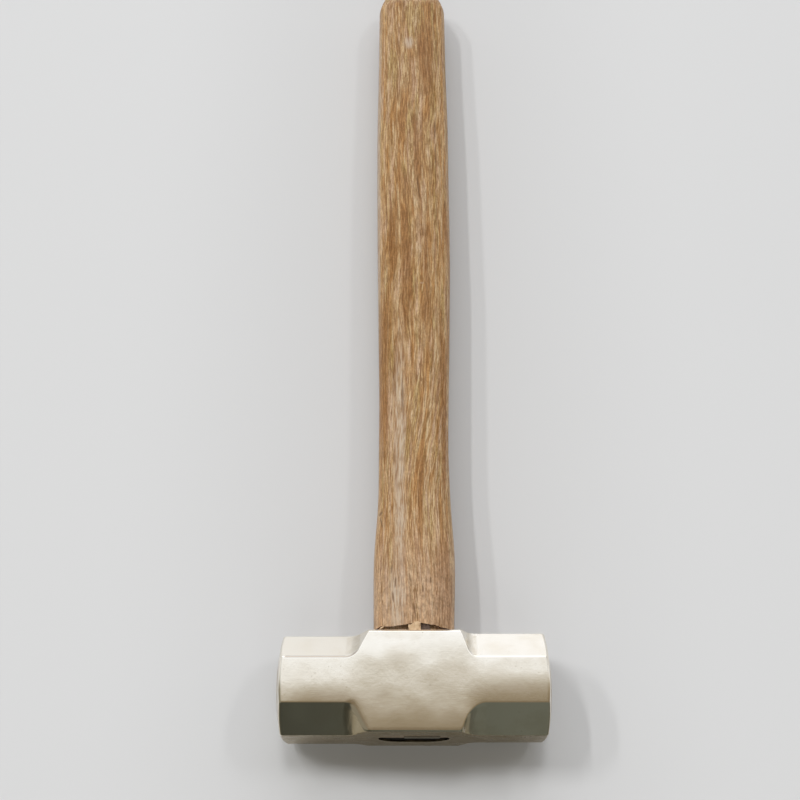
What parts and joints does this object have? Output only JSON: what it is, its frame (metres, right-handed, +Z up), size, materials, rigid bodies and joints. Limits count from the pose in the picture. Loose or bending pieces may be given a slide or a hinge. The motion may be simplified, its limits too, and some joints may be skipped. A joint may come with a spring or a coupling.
{
  "type": "double-faced sledge hammer",
  "caption": "Double-faced hand sledge with an octagonal pale brass head, an oval eye and a straight wooden handle held by wedges.",
  "frame": {"origin": "middle of the head's lower cheek, the flat side that it rests on, straight under the centre of the eye", "axes": "+X along the head from face to face, +Y from the head along the handle to its butt, +Z up from the lower cheek to the upper one"},
  "size_m": [0.117, 0.4015, 0.042],
  "materials": {
    "head_brass": "belt-ground and polished pale brass, bare",
    "handle_wood": "open-grained oak under clear varnish",
    "wedge_wood": "bare hardwood darkened by oil",
    "wedge_steel": "plain rolled steel, dull"
  },
  "bodies": {
    "root": {"head": "head_brass", "handle": "handle_wood", "wood_wedge": "wedge_wood", "steel_wedge": "wedge_steel"}
  },
  "joints": []
}
